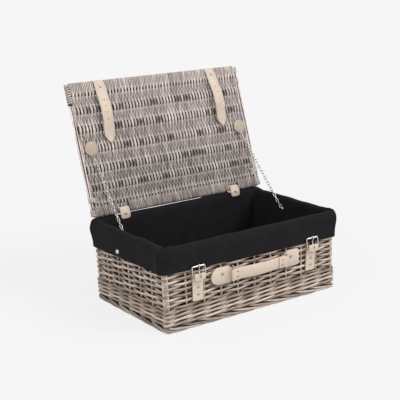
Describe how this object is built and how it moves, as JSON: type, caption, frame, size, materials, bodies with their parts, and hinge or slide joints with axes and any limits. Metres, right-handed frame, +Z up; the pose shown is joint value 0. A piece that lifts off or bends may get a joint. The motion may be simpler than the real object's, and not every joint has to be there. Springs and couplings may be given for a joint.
{
  "type": "picnic hamper",
  "caption": "Rectangular woven willow hamper with a cloth lining, a hinged lid on stay chains, leather buckle straps and a leather front handle.",
  "frame": {"origin": "middle of the underside, on the ground", "axes": "+X along the front to the right, +Y to the back where the lid is hinged, +Z up"},
  "size_m": [0.46, 0.3861, 0.4615],
  "materials": {
    "willow": "grey antique wash, matt",
    "raffia": "dry, matt",
    "cotton": "black plain weave, matt",
    "leather": "pale beige, smooth grain",
    "steel": "nickel plated"
  },
  "bodies": {
    "hamper": {"base_panel": "willow", "foot_border": "willow", "wall_weave": "willow", "rim": "willow", "corner_post_front_left": "willow", "corner_post_front_right": "willow", "corner_post_back_left": "willow", "corner_post_back_right": "willow", "lining": "cotton", "hinge_loop_left": "leather", "hinge_loop_right": "leather", "hinge_rivet_left": "steel", "hinge_rivet_right": "steel", "buckle_strap_left": "leather", "buckle_strap_right": "leather", "buckle_strap_rivet_left_upper": "steel", "buckle_strap_rivet_left_lower": "steel", "buckle_strap_rivet_right_upper": "steel", "buckle_strap_rivet_right_lower": "steel", "handle_tab_left": "leather", "handle_tab_right": "leather", "handle_tab_rivet_left": "steel", "handle_tab_rivet_right": "steel", "chain_left": "steel", "chain_right": "steel", "chain_anchor_left": "steel", "chain_anchor_right": "steel", "cuff_stud_left": "steel", "cuff_stud_right": "steel"},
    "lid": {"lid_weave": "willow", "lid_rear_rod": "willow", "lid_front_rod": "willow", "lid_side_rod_left": "willow", "lid_side_rod_right": "willow", "corner_binding_rear_left": "raffia", "corner_binding_rear_right": "raffia", "corner_binding_front_left": "raffia", "corner_binding_front_right": "raffia", "chain_patch_left": "leather", "chain_patch_right": "leather"},
    "closing_strap_left": {"closing_strap_left": "leather", "closing_strap_rivet_left": "steel"},
    "closing_strap_right": {"closing_strap_right": "leather", "closing_strap_rivet_right": "steel"},
    "buckle_left": {"buckle_frame_left": "steel"},
    "buckle_right": {"buckle_frame_right": "steel"},
    "roller_left": {"buckle_roller_left": "steel"},
    "roller_right": {"buckle_roller_right": "steel"},
    "prong_left": {"buckle_prong_left": "steel"},
    "prong_right": {"buckle_prong_right": "steel"},
    "handle_ring_left": {"handle_ring_left": "steel"},
    "handle_ring_right": {"handle_ring_right": "steel"},
    "handle": {"handle_strap": "leather", "handle_rivet_left_upper": "steel", "handle_rivet_left_lower": "steel", "handle_rivet_right_upper": "steel", "handle_rivet_right_lower": "steel"}
  },
  "joints": [
    {"name": "lid_hinge", "type": "hinge", "parent": "hamper", "child": "lid", "pos_m": [0, 0.133, 0.188], "axis": [1, 0, 0], "range_deg": [0, 108.5], "deforming": ["chain_left", "chain_right"]},
    {"name": "closing_strap_left_swing", "type": "hinge", "parent": "lid", "child": "closing_strap_left", "pos_m": [-0.149, 0.22242, 0.45524], "axis": [-1, 0, 0], "range_deg": [0, 180]},
    {"name": "closing_strap_right_swing", "type": "hinge", "parent": "lid", "child": "closing_strap_right", "pos_m": [0.149, 0.22242, 0.45524], "axis": [-1, 0, 0], "range_deg": [0, 180]},
    {"name": "buckle_left_tilt", "type": "hinge", "parent": "hamper", "child": "buckle_left", "pos_m": [-0.149, -0.14731, 0.112], "axis": [1, 0, 0], "range_deg": [0, 70]},
    {"name": "buckle_right_tilt", "type": "hinge", "parent": "hamper", "child": "buckle_right", "pos_m": [0.149, -0.14731, 0.112], "axis": [1, 0, 0], "range_deg": [0, 70]},
    {"name": "prong_left_tilt", "type": "hinge", "parent": "buckle_left", "child": "prong_left", "pos_m": [-0.149, -0.14731, 0.112], "axis": [1, 0, 0], "range_deg": [0, 45]},
    {"name": "prong_right_tilt", "type": "hinge", "parent": "buckle_right", "child": "prong_right", "pos_m": [0.149, -0.14731, 0.112], "axis": [1, 0, 0], "range_deg": [0, 45]},
    {"name": "roller_left_spin", "type": "hinge", "parent": "buckle_left", "child": "roller_left", "pos_m": [-0.149, -0.1441, 0.13022], "axis": [1, 0, 0], "continuous": true},
    {"name": "roller_right_spin", "type": "hinge", "parent": "buckle_right", "child": "roller_right", "pos_m": [0.149, -0.1441, 0.13022], "axis": [1, 0, 0], "continuous": true},
    {"name": "handle_swing", "type": "hinge", "parent": "hamper", "child": "handle_ring_left", "pos_m": [-0.07, -0.1431, 0.097], "axis": [0, 0, -1], "range_deg": [-32, 32]},
    {"name": "handle_strap_turn", "type": "hinge", "parent": "handle_ring_left", "child": "handle", "pos_m": [-0.07, -0.1531, 0.097], "axis": [0, 0, -1], "range_deg": [-32, 32]},
    {"name": "handle_right_ring_swing", "type": "hinge", "parent": "hamper", "child": "handle_ring_right", "pos_m": [0.07, -0.1431, 0.097], "axis": [0, 0, -1], "range_deg": [-32, 32]}
  ],
  "couplings": [
    {"joint": "handle_strap_turn", "follows": "handle_swing", "ratio": -1},
    {"joint": "handle_right_ring_swing", "follows": "handle_swing", "ratio": 1}
  ]
}
